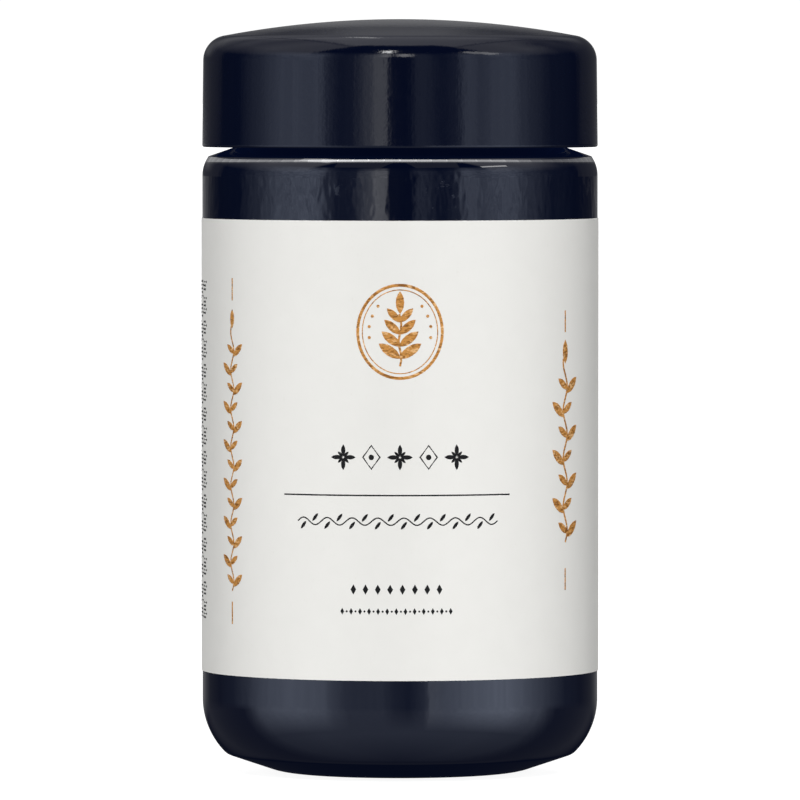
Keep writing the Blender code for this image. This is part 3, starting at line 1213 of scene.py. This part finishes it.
# so many degrees right of the front, and up
def pointing(right, up):
    turn, rise = radians(right), radians(up)
    return Vector((sin(turn) * cos(rise), -cos(turn) * cos(rise), sin(rise)))


# the light's width follows the direction along
def addGlint(name, group, direction, along, halfWide, halfTall, light):
    deselectAll()
    distance = lights["distance"]
    bpy.ops.object.light_add(type='AREA', location=Vector((0, 0, lidLow.z)) + direction * distance)
    glint = bpy.context.object
    glint.name = name
    upright = direction.cross(along).normalized()
    glint.rotation_euler = Matrix((upright.cross(direction), upright, direction)).transposed().to_euler()
    glint.data.shape = 'RECTANGLE'
    glint.data.size = 2 * distance * tan(radians(halfWide))
    glint.data.size_y = 2 * distance * tan(radians(halfTall))
    glint.data.energy = 4 * light * glint.data.size * glint.data.size_y
    glint.visible_diffuse = False
    glint.visible_camera = False
    glint.light_linking.receiver_collection = group


def makeGlints(piece, glints):
    group = bpy.data.collections.new(piece.name + "Alone")
    group.objects.link(piece)
    for number, (right, up, halfWide, halfTall, lean, light) in enumerate(glints):
        direction = pointing(right, up)
        along = Matrix.Rotation(radians(lean), 3, direction) @ pointing(right + 90, 0)
        addGlint(piece.name + "Glint%d" % number, group, direction, along, halfWide, halfTall, light)
    return group


# a setting, so many degrees round the shoulder
def roundShoulder(name, degrees):
    inFront, atSides = gleam[name]
    return inFront + (atSides - inFront) * sin(radians(degrees)) ** 2


# where the bevel mirrors to
def mirroredBy(degrees, below=0.0):
    return Vector((0, 1, 0)).reflect(pointing(degrees, roundShoulder("facing", degrees) - below))


def makeShoulderLine(group):
    stops = gleam["stops"]
    ends = spread(stops[0][0], stops[-1][0], gleam["lights"])
    below, tailHalf, tailShare = gleam["tail"]
    for number, (start, end) in enumerate(zip(ends, ends[1:])):
        degrees = (start + end) / 2
        before = max(stop for stop in stops if stop[0] <= degrees)
        after = min(stop for stop in stops if stop[0] > degrees)
        light = before[1] + (after[1] - before[1]) * (degrees - before[0]) / (after[0] - before[0])
        left, right = mirroredBy(start), mirroredBy(end)
        halfWide = left.angle(right) / radians(2) * gleam["overlap"]
        addGlint("shoulderLight%d" % number, group, mirroredBy(degrees), right - left, halfWide,
                 roundShoulder("half", degrees), light)
        addGlint("shoulderTail%d" % number, group, mirroredBy(degrees, below), right - left, halfWide,
                 tailHalf, light * tailShare)


def makeLights(jar, lid):
    for number, (right, up, share) in enumerate(lights["soft"]):
        deselectAll()
        bpy.ops.object.light_add(type='SUN', rotation=(radians(90 - up), 0, radians(right)))
        light = bpy.context.object
        light.name = "softLight%d" % number
        light.data.energy = share / paper["colour"][1] * pi / cos(radians(up))
        light.data.angle = lights["softAngle"]
        light.visible_glossy = False
    makeGlints(lid, lights["lid"])
    makeShoulderLine(makeGlints(jar, lights["jar"]))


# The camera

cameraSet = {
    "place": (0.0, -2.0, 0.1386),
    "target": (0.0, 0.0, 0.0723),
    "lens": 462.3,
    "sensor": 36,
    "farthest": 200,
}


def makeCamera():
    deselectAll()
    place, target = Vector(cameraSet["place"]), Vector(cameraSet["target"])
    bpy.ops.object.camera_add(location=place)
    camera = bpy.context.object
    camera.name = "frontCamera"
    camera.rotation_euler = (target - place).to_track_quat('-Z', 'Y').to_euler()
    camera.data.lens = cameraSet["lens"]
    camera.data.sensor_width = cameraSet["sensor"]
    camera.data.clip_end = cameraSet["farthest"]
    bpy.context.scene.camera = camera


makeFloor()
makeRoom()
makeLights(jar, lid)
makeCamera()
bpy.context.scene.view_settings.view_transform = 'Standard'
print("floor, room, lights and camera are in place")
